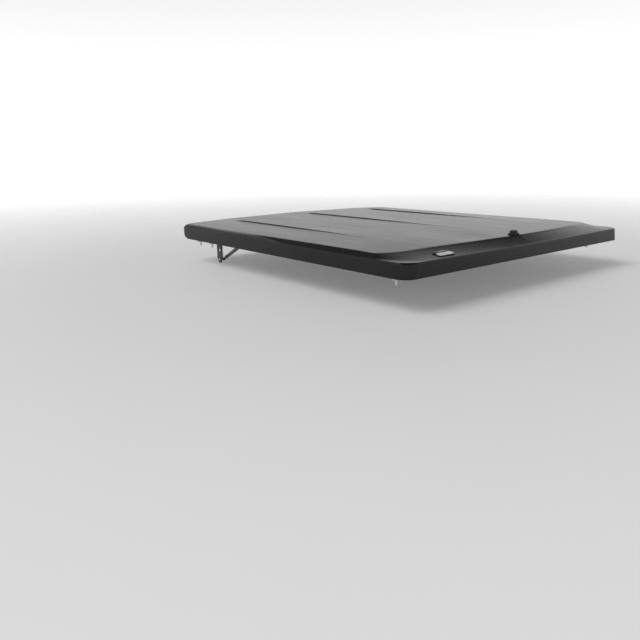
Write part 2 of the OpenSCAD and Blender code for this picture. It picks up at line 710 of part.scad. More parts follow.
module rail_clamps() {
    color([0.55, 0.56, 0.57]) both() for (y = clamp_spots) difference() {
        union() {
            span(clamp_in, clamp_in + clamp_wall, y - clamp_w / 2, y + clamp_w / 2, clamp_bottom, clamp_top);
            span(clamp_in, clamp_out, y - clamp_w / 2, y + clamp_w / 2, bracket_t, clamp_top);
            span(clamp_in, clamp_out, y - clamp_w / 2, y + clamp_w / 2,
                 clamp_bottom, clamp_bottom + clamp_wall);
        }
        post(screw_x, y, clamp_bottom - 1, clamp_bottom + clamp_wall + 1, screw_r);
    }
}
module clamp_bolts() {
    color([0.7, 0.71, 0.72]) both() for (y = clamp_spots) {
        post(screw_x, y, clamp_bottom - 14, -throat - 5, screw_r);
        translate([screw_x, y, clamp_bottom - 20]) cylinder(h = 6, r = 7.5, $fn = 6);
    }
}
module clamp_pads() {
    color([0.06, 0.06, 0.06]) both() for (y = clamp_spots) post(screw_x, y, -throat - 5, -throat, 9);
}

// ---- Bed light and badge ----

light_y = 300;
module light_housing() {
    color([0.07, 0.07, 0.07]) translate([0, light_y, liner_z - 10]) difference() {
        slab(124, 62, 10, 14);
        translate([-14, 0, -1]) slab(74, 42, 5, 8);
        translate([42, 0, -1]) cylinder(h = 7, r = 8.2);
    }
}
module light_lens() {
    color([0.92, 0.93, 0.95]) translate([-14, light_y, liner_z - 11.5]) slab(73, 41, 5.5, 7.6);
}
module light_switch() {
    color([0.75, 0.1, 0.08]) post(42, light_y, liner_z - 12, liner_z - 8, 7.8);
}

badge_w = 100;
badge_l = 52;
badge_tilt = 12.18;
module at_badge() { translate([-592, -882, 49.7]) rotate([badge_tilt, -0.77, 0]) children(); }
module badge() {
    color([0.8, 0.81, 0.82]) at_badge() difference() {
        slab(badge_w, badge_l, 3, 12);
        translate([0, 0, 2]) slab(badge_w - 8, badge_l - 8, 3, 9);
    }
}
// A plain crescent, raised from the badge's floor
module badge_inlay() {
    color([0.45, 0.04, 0.05]) at_badge() translate([0, 0, 2]) linear_extrude(1.4) intersection() {
        difference() {
            translate([0, -34]) circle(46);
            translate([0, -42]) circle(48);
        }
        rounded(badge_w - 12, badge_l - 10, 6);
    }
}

outer_shell();
inner_liner();
edge_strips();
liner_ribs();
front_crossbar();
rear_crossbar();
hinge_arm_left();
hinge_arm_right();
strut_mount_left();
strut_mount_right();
ball_studs_upper();
lid_bolts();
liner_screws();
bump_stops();
seal_left();
seal_right();
seal_rear();
seal_front();
lock_gasket();
lock_housing();
lock_nut();
rod_guides();
light_housing();
light_lens();
badge();
badge_inlay();
hinge_base_left();
hinge_base_right();
strut_base_left();
strut_base_right();
ball_studs_lower();
striker_left();
striker_right();
rail_clamps();
clamp_bolts();
clamp_pads();
lock_knob();
lock_spindle();
lock_cam();
key_plug();
lock_cap();
latch_rod_left();
latch_rod_right();
rod_tip_left();
rod_tip_right();
hinge_pin_left();
hinge_pin_right();
strut_rod_left();
strut_rod_right();
strut_piston_left();
strut_piston_right();
strut_tube_left();
strut_tube_right();
strut_gland_left();
strut_gland_right();
strut_socket_lower_left();
strut_socket_lower_right();
strut_socket_upper_left();
strut_socket_upper_right();
light_switch();
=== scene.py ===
"""Looks for the hinged hard tonneau cover: dense shell, refined hardware, materials, studio and camera."""
import bpy
import bmesh
import json
import math
import numpy as np
from mathutils import Matrix, Vector


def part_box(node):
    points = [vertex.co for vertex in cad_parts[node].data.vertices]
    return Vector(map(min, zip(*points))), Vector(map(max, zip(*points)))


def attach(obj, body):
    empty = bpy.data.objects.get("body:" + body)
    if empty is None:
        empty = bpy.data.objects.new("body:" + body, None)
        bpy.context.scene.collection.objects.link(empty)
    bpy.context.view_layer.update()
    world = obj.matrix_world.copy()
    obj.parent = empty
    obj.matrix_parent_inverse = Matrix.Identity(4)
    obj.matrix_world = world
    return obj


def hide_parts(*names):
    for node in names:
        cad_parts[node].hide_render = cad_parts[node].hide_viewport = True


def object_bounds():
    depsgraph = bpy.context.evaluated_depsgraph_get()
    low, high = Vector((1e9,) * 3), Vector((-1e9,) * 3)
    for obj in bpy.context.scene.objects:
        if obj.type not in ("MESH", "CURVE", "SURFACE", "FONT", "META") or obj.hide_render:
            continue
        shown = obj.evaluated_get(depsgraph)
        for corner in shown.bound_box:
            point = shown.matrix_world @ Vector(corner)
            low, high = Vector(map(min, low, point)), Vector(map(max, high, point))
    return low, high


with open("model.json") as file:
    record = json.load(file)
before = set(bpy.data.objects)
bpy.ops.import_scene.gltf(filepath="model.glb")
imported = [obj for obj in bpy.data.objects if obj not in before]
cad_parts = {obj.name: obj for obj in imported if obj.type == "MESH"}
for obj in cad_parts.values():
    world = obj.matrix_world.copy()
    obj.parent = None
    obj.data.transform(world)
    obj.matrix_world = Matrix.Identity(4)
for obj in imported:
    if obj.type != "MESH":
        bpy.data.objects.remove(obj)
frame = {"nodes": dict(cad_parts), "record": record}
cad_low, cad_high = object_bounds()
NODES = frame["nodes"]
BODY_OF = {node: body for body, nodes in frame["record"]["behaviour"]["bodies"].items() for node in nodes}
MM = 0.001


# ---------------------------------------------------------------- node materials

class Shader:
    """A principled material built up from small node calls."""

    def __init__(self, name):
        self.mat = bpy.data.materials.new(name)
        self.mat.use_nodes = True
        self.tree = self.mat.node_tree
        self.bsdf = self.tree.nodes["Principled BSDF"]
        self.where = self.tree.nodes.new("ShaderNodeTexCoord").outputs["Object"]

    def node(self, kind, **values):
        made = self.tree.nodes.new(kind)
        for key, value in values.items():
            if hasattr(made, key):
                setattr(made, key, value)
            else:
                made.inputs[key].default_value = value
        return made

    def link(self, source, target):
        self.tree.links.new(source, target)

    def set(self, **values):
        for key, value in values.items():
            self.bsdf.inputs[key.replace("_", " ")].default_value = value
        return self

    def scaled(self, x, y, z):
        mapping = self.node("ShaderNodeMapping")
        mapping.inputs["Scale"].default_value = (x, y, z)
        self.link(self.where, mapping.inputs["Vector"])
        return mapping.outputs["Vector"]

    def noise(self, scale, detail=3.0, roughness=0.5, where=None):
        made = self.node("ShaderNodeTexNoise", Scale=scale, Detail=detail, Roughness=roughness)
        self.link(where or self.where, made.inputs["Vector"])
        return made.outputs["Fac"]

    def cells(self, scale, feature="F1", where=None):
        made = self.node("ShaderNodeTexVoronoi", feature=feature, Scale=scale)
        self.link(where or self.where, made.inputs["Vector"])
        return made.outputs["Distance"]

    def remap(self, source, low, high, out_low, out_high):
        made = self.node("ShaderNodeMapRange")
        for key, value in (("From Min", low), ("From Max", high), ("To Min", out_low), ("To Max", out_high)):
            made.inputs[key].default_value = value
        self.link(source, made.inputs["Value"])
        return made.outputs["Result"]

    def blend(self, factor, low, high):
        """A colour between two, by a factor."""
        made = self.node("ShaderNodeMix", data_type="RGBA")
        self.link(factor, made.inputs["Factor"])
        for socket, value in zip((made.inputs[6], made.inputs[7]), (low, high)):
            if hasattr(value, "links"):
                self.link(value, socket)
            else:
                socket.default_value = (*value, 1.0)
        return made.outputs[2]

    def math(self, operation, a, b):
        made = self.node("ShaderNodeMath", operation=operation)
        for socket, value in zip(made.inputs, (a, b)):
            if hasattr(value, "links"):
                self.link(value, socket)
            else:
                socket.default_value = value
        return made.outputs["Value"]

    def edges(self, low=0.52, high=0.62):
        """1 along worn convex edges, 0 elsewhere."""
        return self.remap(self.node("ShaderNodeNewGeometry").outputs["Pointiness"], low, high, 0.0, 1.0)

    def bump(self, height, distance, strength=1.0, under=None):
        made = self.node("ShaderNodeBump", Strength=strength, Distance=distance)
        self.link(height, made.inputs["Height"])
        if under is not None:
            self.link(under, made.inputs["Normal"])
        self.link(made.outputs["Normal"], self.bsdf.inputs["Normal"])
        return made.outputs["Normal"]

    def colour(self, source):
        self.link(source, self.bsdf.inputs["Base Color"])

    def rough(self, source):
        self.link(source, self.bsdf.inputs["Roughness"])


# ---------------------------------------------------------------- materials

def abs_skin():
    """Black moulded plastic: a fine even grain, a satin sheen, faint handling marks."""
    s = Shader("abs_skin").set(IOR=1.5, Specular_IOR_Level=0.24)
    grain = s.cells(900.0, "F1")
    fine = s.noise(2600.0, 2.0)
    cloud = s.noise(3.2, 4.0)
    smear = s.noise(9.0, 5.0, 0.6, s.scaled(1.0, 0.25, 1.0))
    tone = s.blend(s.remap(cloud, 0.3, 0.7, 0.0, 1.0), (0.0060, 0.0062, 0.0064), (0.0092, 0.0094, 0.0096))
    s.colour(s.blend(s.math("MULTIPLY", s.edges(), 0.35), tone, (0.030, 0.030, 0.031)))
    broad = s.remap(smear, 0.25, 0.75, 0.21, 0.27)
    s.rough(s.math("ADD", broad, s.remap(grain, 0.0, 0.6, -0.02, 0.03)))
    height = s.math("ADD", s.math("MULTIPLY", grain, 0.7), s.math("MULTIPLY", fine, 0.3))
    s.bump(height, 0.00012, 0.28)
    return s.mat


def moulded(name, dark, light, rough=0.45, grain_scale=1400.0, grain_depth=0.00006):
    """Grained moulded plastic or nylon."""
    s = Shader(name)
    s.colour(s.blend(s.remap(s.noise(14.0, 4.0), 0.3, 0.7, 0.0, 1.0), dark, light))
    grain = s.cells(grain_scale)
    s.rough(s.remap(s.math("ADD", s.noise(30.0), grain), 0.3, 1.4, rough - 0.06, rough + 0.08))
    s.bump(grain, grain_depth, 0.5)
    return s.mat


def coated_steel():
    """Black powder coat: orange-peel bump, edges rubbed slightly grey."""
    s = Shader("coated_steel").set(Coat_Weight=0.12, Coat_Roughness=0.3)
    tone = s.blend(s.noise(20.0, 4.0), (0.016, 0.016, 0.017), (0.028, 0.028, 0.029))
    s.colour(s.blend(s.math("MULTIPLY", s.edges(0.54, 0.66), 0.6), tone, (0.10, 0.10, 0.10)))
    peel = s.noise(520.0, 2.0)
    s.rough(s.remap(peel, 0.3, 0.7, 0.38, 0.5))
    s.bump(peel, 0.0001, 0.45)
    return s.mat


def bare_metal(name, dark, light, rough, brushed=(900.0, 60.0, 60.0), tarnish=(0.30, 0.28, 0.24)):
    """Plated, chromed or machined metal with directional marks and a little tarnish."""
    s = Shader(name).set(Metallic=1.0)
    lines = s.noise(1.0, 3.0, 0.5, s.scaled(*brushed))
    base = s.blend(lines, dark, light)
    spots = s.remap(s.noise(45.0, 5.0, 0.65), 0.56, 0.78, 0.0, 0.5)
    s.colour(s.blend(spots, base, tarnish))
    worn = s.remap(lines, 0.3, 0.7, rough - 0.05, rough + 0.06)
    s.rough(s.math("ADD", worn, s.math("MULTIPLY", spots, 0.25)))
    s.bump(lines, 0.00002, 0.4)
    return s.mat


def rubber(name="seal_rubber"):
    """Matt sponge rubber with dusty highlights and fine pores."""
    s = Shader(name).set(Specular_IOR_Level=0.35)
    dust = s.remap(s.noise(24.0, 5.0, 0.6), 0.45, 0.8, 0.0, 0.5)
    s.colour(s.blend(dust, (0.011, 0.011, 0.011), (0.045, 0.043, 0.040)))
    pores = s.cells(1600.0)
    s.rough(s.remap(pores, 0.0, 0.6, 0.6, 0.78))
    s.bump(pores, 0.0001, 0.5)
    return s.mat


def gloss_paint():
    """Gloss black paint of the strut tubes, with light scuffs."""
    s = Shader("strut_paint").set(Coat_Weight=0.6, Coat_Roughness=0.08)
    scuff = s.remap(s.noise(70.0, 6.0, 0.7, s.scaled(1.0, 0.15, 0.15)), 0.55, 0.75, 0.0, 0.6)
    s.colour(s.blend(scuff, (0.008, 0.008, 0.009), (0.04, 0.04, 0.042)))
    s.rough(s.remap(scuff, 0.0, 0.6, 0.16, 0.4))
    s.bump(s.noise(240.0), 0.00004, 0.3)
    return s.mat


def lens():
    """Frosted light lens."""
    s = Shader("light_lens").set(Transmission_Weight=0.25, Coat_Weight=0.5, Coat_Roughness=0.1)
    s.colour(s.blend(s.noise(30.0), (0.78, 0.80, 0.82), (0.86, 0.88, 0.90)))
    frost = s.noise(1500.0)
    s.rough(s.remap(frost, 0.3, 0.7, 0.22, 0.34))
    s.bump(frost, 0.00005, 0.4)
    return s.mat


def enamel(name, dark, light):
    """Hard gloss colour, as on the badge's inlay and the light's button."""
    s = Shader(name).set(Coat_Weight=0.7, Coat_Roughness=0.06)
    s.colour(s.blend(s.noise(60.0, 4.0), dark, light))
    s.rough(s.remap(s.noise(160.0), 0.3, 0.7, 0.2, 0.32))
    s.bump(s.noise(400.0), 0.00003, 0.3)
    return s.mat


def satin_silver():
    """The emblem's silver: a fine metallic lacquer, brighter from above than polished metal."""
    s = Shader("badge_metal").set(Metallic=0.15, Coat_Weight=0.3, Coat_Roughness=0.15)
    flake = s.cells(2200.0)
    s.colour(s.blend(flake, (0.62, 0.63, 0.64), (0.86, 0.87, 0.88)))
    s.rough(s.remap(flake, 0.0, 0.7, 0.30, 0.42))
    s.bump(s.noise(500.0), 0.00003, 0.3)
    return s.mat


LOOKS = {
    "abs_skin": abs_skin(),
    "liner_plastic": moulded("liner_plastic", (0.030, 0.030, 0.032), (0.044, 0.044, 0.046),
                             0.55, 700.0, 0.00014),
    "bar_aluminium": bare_metal("bar_aluminium", (0.55, 0.56, 0.57), (0.70, 0.71, 0.72),
                                0.34, (20.0, 900.0, 900.0)),
    "coated_steel": coated_steel(),
    "zinc_steel": bare_metal("zinc_steel", (0.50, 0.51, 0.53), (0.66, 0.67, 0.68),
                             0.30, (40.0, 700.0, 700.0)),
    "cast_aluminium": bare_metal("cast_aluminium", (0.44, 0.45, 0.46), (0.56, 0.57, 0.58),
                                 0.46, (300.0, 300.0, 300.0)),
    "seal_rubber": rubber(),
    "lock_plastic": moulded("lock_plastic", (0.010, 0.010, 0.011), (0.016, 0.016, 0.017), 0.36),
    "key_metal": bare_metal("key_metal", (0.56, 0.52, 0.44), (0.70, 0.66, 0.57), 0.28, (200.0, 200.0, 200.0)),
    "nylon": moulded("nylon", (0.62, 0.61, 0.56), (0.70, 0.69, 0.64), 0.42),
    "strut_paint": gloss_paint(),
    "strut_chrome": bare_metal("strut_chrome", (0.74, 0.75, 0.76), (0.84, 0.85, 0.86),
                               0.09, (600.0, 30.0, 30.0)),
    "strut_plastic": moulded("strut_plastic", (0.012, 0.012, 0.013), (0.020, 0.020, 0.021), 0.4),
    "light_plastic": moulded("light_plastic", (0.018, 0.018, 0.019), (0.028, 0.028, 0.029), 0.42),
    "light_lens": lens(),
    "switch_red": enamel("switch_red", (0.34, 0.02, 0.015), (0.45, 0.03, 0.02)),
    "badge_metal": satin_silver(),
    "badge_red": enamel("badge_red", (0.26, 0.010, 0.012), (0.36, 0.018, 0.020)),
}
SLOT_OF = {part["node"]: part["material_slot"] for part in frame["record"]["subparts"]}


def dress(obj, slot):
    obj.data.materials.clear()
    obj.data.materials.append(LOOKS[slot])


for name, obj in NODES.items():
    dress(obj, SLOT_OF[name])


# ---------------------------------------------------------------- mesh helpers

def mesh_object(name, points, faces, smooth=True):
    mesh = bpy.data.meshes.new(name)
    mesh.from_pydata([tuple(p) for p in points], [], [tuple(f) for f in faces])
    mesh.validate()
    if smooth:
        mesh.shade_smooth()
    obj = bpy.data.objects.new(name, mesh)
    bpy.context.scene.collection.objects.link(obj)
    return obj


def baked(obj):
    """Applies an object's modifiers to its mesh."""
    done = bpy.data.meshes.new_from_object(obj.evaluated_get(bpy.context.evaluated_depsgraph_get()))
    old = obj.data
    obj.modifiers.clear()
    obj.data = done
    bpy.data.meshes.remove(old)
    return obj


def stands_for(obj, *nodes):
    """The piece takes its nodes' place, body and material slot."""
    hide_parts(*nodes)
    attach(obj, BODY_OF[nodes[0]])
    dress(obj, SLOT_OF[nodes[0]])
    return obj


def refined(node, width, segments=2, angle=32.0):
    """A copy of a CAD node with merged faces and rounded edges."""
    mesh = NODES[node].data.copy()
    bm = bmesh.new()
    bm.from_mesh(mesh)
    bmesh.ops.remove_doubles(bm, verts=bm.verts, dist=1e-6)
    bmesh.ops.dissolve_limit(bm, angle_limit=math.radians(0.6), verts=bm.verts, edges=bm.edges,
                             delimit={"NORMAL"})
    bm.to_mesh(mesh)
    bm.free()
    obj = bpy.data.objects.new(node + "_shaped", mesh)
    bpy.context.scene.collection.objects.link(obj)
    bevel = obj.modifiers.new("edges", "BEVEL")
    bevel.width = width
    bevel.segments = segments
    bevel.limit_method = "ANGLE"
    bevel.angle_limit = math.radians(angle)
    bevel.miter_outer = "MITER_ARC"
    bevel.harden_normals = True
    baked(obj)
    obj.data.shade_smooth()
    obj.data.set_sharp_from_angle(angle=math.radians(40.0))
    return stands_for(obj, node)


# ---------------------------------------------------------------- outer shell

SHELL_LOW, SHELL_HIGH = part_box("outer_shell")
HALF_W = SHELL_HIGH.x
HALF_L = SHELL_HIGH.y
SKIRT_Z = SHELL_LOW.z
WALL = 4 * MM
DECK_EDGE_Z = 61.5 * MM
CROWN = 16.5 * MM
CREASE_X = 570 * MM
CREASE_HALF = 13 * MM
CREASE_H = 5 * MM
FRONT_LIP_Z = 16 * MM
DECK_INSET = 46 * MM
RINGS_BETWEEN = 6                      # mesh rings in each stretch of the section

RIM_BOW = 70 * MM                      # the rear rim's bow towards the cab, 650 mm off the centre line

# The section's stations: inset from the side, the tailgate end and the cab end, the rear and front
# corner radii, the share of the rise from ledge to deck over a flat ledge and a round shoulder, and the
# share of the rim's bow.
STATIONS = [
    (0.0, 0.0, 0.0, 57, 45, 0.0, 0.0, 0.0),
    (1.0, 1.5, 1.0, 70, 44, 0.0, 0.0, 0.0),
    (3.0, 4.0, 3.0, 85, 42, 0.0, 0.0, 0.0),
    (13.0, 10.0, 8.0, 165, 40, 0.04, 0.55, 0.0),
    (21.0, 29.0, 12.0, 163, 36, 0.30, 0.80, 0.3),
    (28.0, 62.0, 17.0, 160, 34, 0.82, 0.93, 0.8),
    (34.0, 70.0, 22.0, 156, 32, 0.98, 0.985, 0.95),
    (46.0, 84.0, 34.0, 150, 30, 1.0, 1.0, 1.0),
]


def ease(t):
    t = np.clip(t, 0.0, 1.0)
    return t * t * (3 - 2 * t)


def mix(a, b, t):
    return a + (b - a) * t


def fold(x):
    """Share of the crown's rise: two flat panels each side of the centre line."""
    deck_half = HALF_W - DECK_INSET
    inner = mix(1.0, 0.56, np.abs(x) / CREASE_X)
    outer = mix(0.56, 0.0, (np.abs(x) - CREASE_X) / (deck_half - CREASE_X))
    return np.where(np.abs(x) < CREASE_X, inner, outer)


def ridge(distance):
    return 1 - ease(np.abs(distance) / CREASE_HALF)


def deck_z(x, y):
    creases = (ridge(x) * ease((y + 0.72) / 1.1) + ridge(np.abs(x) - CREASE_X) * ease((y + 0.58) / 0.9))
    creases = CREASE_H * ease((0.8 - y) / 0.09) * creases
    return DECK_EDGE_Z + CROWN * fold(x) + creases - 3 * MM * ease((-y - 0.56) / 0.3)


def ledge_z(x, y):
    return (36 + 6 * (x / HALF_W) ** 2 + 12 * ease((y + 0.2) / 0.42) - 8 * ease((y - 0.25) / 0.6)) * MM


def stops(half, marks, spacing):
    """Rising positions across a straight stretch, close together round each mark."""
    close = [m + CREASE_HALF * d for m in marks for d in np.linspace(-1.1, 1.1, 15)]
    count = int(2 * half / spacing)
    even = [p for p in np.linspace(-half, half, count) if all(abs(p - m) > 1.5 * CREASE_HALF for m in marks)]
    return np.array(sorted(close + even))


CORNER_STEPS = 12                      # segments in half a rounded corner
X_STOPS = stops(CREASE_X + 40 * MM, (-CREASE_X, 0.0, CREASE_X), 32 * MM)
Y_SHARES = np.linspace(0.0, 1.0, 56)
NX = len(X_STOPS) + 1 + 2 * CORNER_STEPS
NY = len(Y_SHARES) - 1 + 2 * CORNER_STEPS
LOOP = 2 * (NX + NY)


def outline(half_x, rear, front, r_rear, r_front, bow):
    """Points round a rounded rectangle with a bowed rear end, anticlockwise from the rear-left corner."""
    def arc(cx, cy, r, start):
        angles = np.radians(start + 45.0 * np.arange(CORNER_STEPS) / CORNER_STEPS)
        return np.stack([cx + r * np.cos(angles), cy + r * np.sin(angles)], 1)

    def across(reach, y):
        return np.stack([np.concatenate([[-reach], X_STOPS, [reach]]), np.full(len(X_STOPS) + 2, y)], 1)

    def along(x):
        return np.stack([np.full(len(Y_SHARES), x), mix(yr, yf, Y_SHARES)], 1)

    xr, xf = half_x - r_rear, half_x - r_front
    yr, yf = rear + r_rear, front - r_front
    points = np.concatenate([
        arc(-xr, yr, r_rear, 225), across(xr, rear), arc(xr, yr, r_rear, 270)[1:],
        arc(xr, yr, r_rear, 315), along(half_x), arc(xf, yf, r_front, 0)[1:],
        arc(xf, yf, r_front, 45), across(xf, front)[::-1], arc(-xf, yf, r_front, 90)[1:],
        arc(-xf, yf, r_front, 135), along(-half_x)[::-1], arc(-xr, yr, r_rear, 180)[1:],
    ])
    fade = np.maximum(0.0, yr - points[:, 1]) / r_rear
    points[:, 1] += bow * RIM_BOW * (np.abs(points[:, 0]) / 0.65) ** 1.2 * fade
    return points


def smooth(values, at):
    """A rounded curve through values at 0, 1, 2..., without overshoot."""
    step = np.diff(values)
    slope = np.zeros(len(values))
    same = step[:-1] * step[1:] > 0
    slope[1:-1][same] = 2 * step[:-1][same] * step[1:][same] / (step[:-1] + step[1:])[same]
    slope[0], slope[-1] = step[0], step[-1]
    i = np.clip(np.floor(at).astype(int), 0, len(values) - 2)
    t = at - i
    return ((2 * t**3 - 3 * t**2 + 1) * values[i] + (t**3 - 2 * t**2 + t) * slope[i]
            + (3 * t**2 - 2 * t**3) * values[i + 1] + (t**3 - t**2) * slope[i + 1])


def shell_rings():
    """Every ring of the shell's outside as an array of points, from the skirt's lip to the deck."""
    rings = []
    reach = 10 * MM                                   # rounding of the edge between band and ledge
    table = np.array(STATIONS)

    def plan(row):
        side, rear, front, r_rear, r_front = row[:5] * MM
        return outline(HALF_W - side, rear - HALF_L, HALF_L - front, r_rear, r_front, row[7])

    def low_z(y):
        return mix(SKIRT_Z, FRONT_LIP_Z, ease((y - HALF_L + 60 * MM) / (45 * MM)))

    for up, inset in ((0.0, 0.9), (0.8, 0.25), (2.0, 0.0)):   # the skirt's rounded lower edge
        xy = plan(table[0] + np.array([inset, inset, inset, 0, 0, 0, 0, 0]))
        rings.append(np.column_stack([xy, low_z(xy[:, 1]) + up * MM]))
    for share in (0.25, 0.5, 0.75, 1.0):              # the flat band up to the rounding
        xy = plan(mix(table[0], table[1], share))
        low, high = low_z(xy[:, 1]) + 2 * MM, ledge_z(xy[:, 0], xy[:, 1]) - reach
        rings.append(np.column_stack([xy, mix(low, np.maximum(high, low + 1 * MM), share)]))
    for angle in np.radians([15, 30, 45, 60, 75, 90]):
        share = 1 - math.cos(angle)
        xy = plan(mix(table[1], table[2], share))
        rings.append(np.column_stack([xy, ledge_z(xy[:, 0], xy[:, 1]) - reach * (1 - math.sin(angle))]))
    for at in np.arange(2 + 1 / RINGS_BETWEEN, len(table) - 1 + 1e-9, 1 / RINGS_BETWEEN):
        row = np.array([smooth(table[2:, c], np.array([at - 2]))[0] for c in range(8)])
        xy = plan(row)
        x, y = xy[:, 0], xy[:, 1]
        share = mix(row[5], row[6], ease((y + 0.15) / 0.4))
        rings.append(np.column_stack([xy, mix(ledge_z(x, y), deck_z(x, y), share)]))
    return rings


def deck_rows(border):
    """Points inside the deck: straight lines from the rear edge to the front one, bowed out at the sides."""
    front = border[(2 * NX + NY - np.arange(NX + 1)) % LOOP]
    rear = border[:NX + 1]
    i = np.arange(NX + 1)
    share = np.maximum(0, (i - NX + CORNER_STEPS) / CORNER_STEPS) - np.maximum(0, 1 - i / CORNER_STEPS)
    rows = []
    for j in range(1, NY):
        left, right = border[LOOP - j], border[NX + j]
        v = (left[1] - border[0][1]) / (border[2 * NX + NY][1] - border[0][1])
        bow = right[0] - mix(border[NX][0], border[NX + NY][0], v)
        row = mix(rear, front, v)[1:-1]
        x, y = row[:, 0] + share[1:-1] * bow, row[:, 1]
        rows.append(np.column_stack([x, y, deck_z(x, y)]))
    return np.concatenate(rows)


def shell_mesh():
    """The shell's outside and its inside, a wall's thickness in, joined round the skirt's lower edge."""
    rings = shell_rings()
    last = len(rings) - 1
    outside = np.concatenate(rings + [deck_rows(rings[-1])])

    def deck_id(i, j):
        if j == 0:
            return last * LOOP + i
        if i == NX:
            return last * LOOP + NX + j
        if j == NY:
            return last * LOOP + 2 * NX + NY - i
        if i == 0:
            return last * LOOP + LOOP - j
        return (last + 1) * LOOP + (j - 1) * (NX - 1) + i - 1

    faces = [(i * LOOP + k, i * LOOP + (k + 1) % LOOP, (i + 1) * LOOP + (k + 1) % LOOP, (i + 1) * LOOP + k)
             for i in range(last) for k in range(LOOP)]
    faces += [(deck_id(i, j), deck_id(i + 1, j), deck_id(i + 1, j + 1), deck_id(i, j + 1))
              for j in range(NY) for i in range(NX)]
    rough = bpy.data.meshes.new("rough")
    rough.from_pydata([tuple(p) for p in outside], [], faces)
    normals = np.array([tuple(v.normal) for v in rough.vertices])
    bpy.data.meshes.remove(rough)
    inside = outside - WALL * normals
    level = normals[:LOOP] * (1, 1, 0)
    level /= np.linalg.norm(level, axis=1)[:, None]
    inside[:LOOP] = outside[:LOOP] - (WALL - 0.9 * MM) * level
    n = len(outside)
    faces += [tuple(n + f for f in reversed(face)) for face in faces]
    faces += [(k, n + k, n + (k + 1) % LOOP, (k + 1) % LOOP) for k in range(LOOP)]
    return mesh_object("outer_shell_skin", np.concatenate([outside, inside]), faces)


LOCK_LOW, LOCK_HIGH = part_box("lock_gasket")
LOCK = (LOCK_LOW + LOCK_HIGH) / 2
shell = shell_mesh()
bpy.ops.mesh.primitive_cylinder_add(vertices=64, radius=14.2 * MM, depth=0.2, location=(LOCK.x, LOCK.y, 0.08))
cutter = bpy.context.object
cut = shell.modifiers.new("lock hole", "BOOLEAN")
cut.object = cutter
cut.solver = "EXACT"
bpy.context.view_layer.update()
baked(shell)
bpy.data.objects.remove(cutter)
shell.data.shade_smooth()
shell.data.set_sharp_from_angle(angle=math.radians(60.0))
stands_for(shell, "outer_shell")


# ---------------------------------------------------------------- hardware, seals and trim

EDGES = {
    0.0005: ["hinge_arm_left", "hinge_arm_right", "hinge_base_left", "hinge_base_right", "strut_base_left",
             "strut_base_right", "strut_mount_left", "strut_mount_right", "striker_left", "striker_right",
             "lid_bolts", "clamp_bolts", "ball_studs_lower", "ball_studs_upper", "latch_rod_left",
             "latch_rod_right", "lock_cam", "lock_spindle", "lock_nut", "liner_screws",
             "hinge_pin_left", "hinge_pin_right", "key_plug"],
    0.0008: ["lock_housing", "lock_cap", "rod_tip_left", "rod_tip_right", "rod_guides", "lock_gasket",
             "front_crossbar", "rear_crossbar", "light_switch", "clamp_pads", "edge_strips", "liner_ribs",
             "seal_left", "seal_right", "seal_rear", "seal_front"],
    0.0012: ["lock_knob", "rail_clamps", "light_housing", "bump_stops", "strut_socket_lower_left",
             "strut_socket_lower_right", "strut_socket_upper_left", "strut_socket_upper_right"],
}
for width, nodes in EDGES.items():
    for node in nodes:
        refined(node, width)


def lathe(name, profile, start, end, sides=72):
    """A closed (radius, height) outline turned about the line from start towards end, heights from start."""
    along = (end - start).normalized()
    across = along.cross(Vector((1.0, 0.0, 0.0))).normalized()
    third = along.cross(across)
    points, faces = [], []
    for s in range(sides):
        a = 2 * math.pi * s / sides
        out = across * math.cos(a) + third * math.sin(a)
        points += [start + along * h * MM + out * r * MM for r, h in profile]
    n = len(profile)
    for s in range(sides):
        t = (s + 1) % sides
        faces += [(s * n + i, t * n + i, t * n + (i + 1) % n, s * n + (i + 1) % n) for i in range(n)]
    obj = mesh_object(name, points, faces)
    bm = bmesh.new()
    bm.from_mesh(obj.data)
    bmesh.ops.recalc_face_normals(bm, faces=bm.faces)
    bm.to_mesh(obj.data)
    bm.free()
    obj.data.set_sharp_from_angle(angle=math.radians(35.0))
    return obj


for side, name in ((-1, "left"), (1, "right")):
    low = Vector((side * 0.745, 0.66, -0.14))
    high = Vector((side * 0.745, 0.4, -0.006))
    length = (high - low).length / MM
    tube = [(9.5, 34.0), (9.9, 34.0), (10.6, 34.4), (11.0, 35.4), (11.0, 39.6), (10.5, 40.4), (10.35, 41.2),
            (10.5, 42.0), (11.0, 42.8), (11.0, 55.6), (10.7, 56.4), (10.7, 57.6), (11.0, 58.4),
            (11.0, length - 23.0), (10.7, length - 21.4), (9.8, length - 20.2), (8.6, length - 20.0),
            (0.05, length - 20.0), (0.05, length - 21.4), (9.5, length - 21.4)]
    stands_for(lathe("strut_tube_turned_" + name, tube, low, high), "strut_tube_" + name)


def rod_profile(radius, low, high, chamfer=0.6):
    return [(0.05, low), (radius - chamfer, low), (radius, low + chamfer), (radius, high - chamfer),
            (radius - chamfer, high), (0.05, high)]


for side, name in ((-1, "left"), (1, "right")):
    low = Vector((side * 0.745, 0.66, -0.14))
    high = Vector((side * 0.745, 0.4, -0.006))
    end = (high - low).length / MM - 20.0
    stands_for(lathe("strut_rod_turned_" + name, rod_profile(4.0, 16.0, end - 16.0), low, high),
               "strut_rod_" + name)
    gland = [(4.1, 35.0), (9.0, 35.0), (9.5, 35.6), (9.5, 52.4), (9.0, 53.0), (4.1, 53.0)]
    stands_for(lathe("strut_gland_turned_" + name, gland, low, high), "strut_gland_" + name)
    piston = [(4.05, end - 28.0), (8.9, end - 28.0), (9.4, end - 27.4), (9.4, end - 24.4), (8.8, end - 24.0),
              (8.8, end - 22.4), (9.4, end - 22.0), (9.4, end - 18.6), (8.9, end - 18.0), (4.05, end - 18.0)]
    stands_for(lathe("strut_piston_turned_" + name, piston, low, high), "strut_piston_" + name)


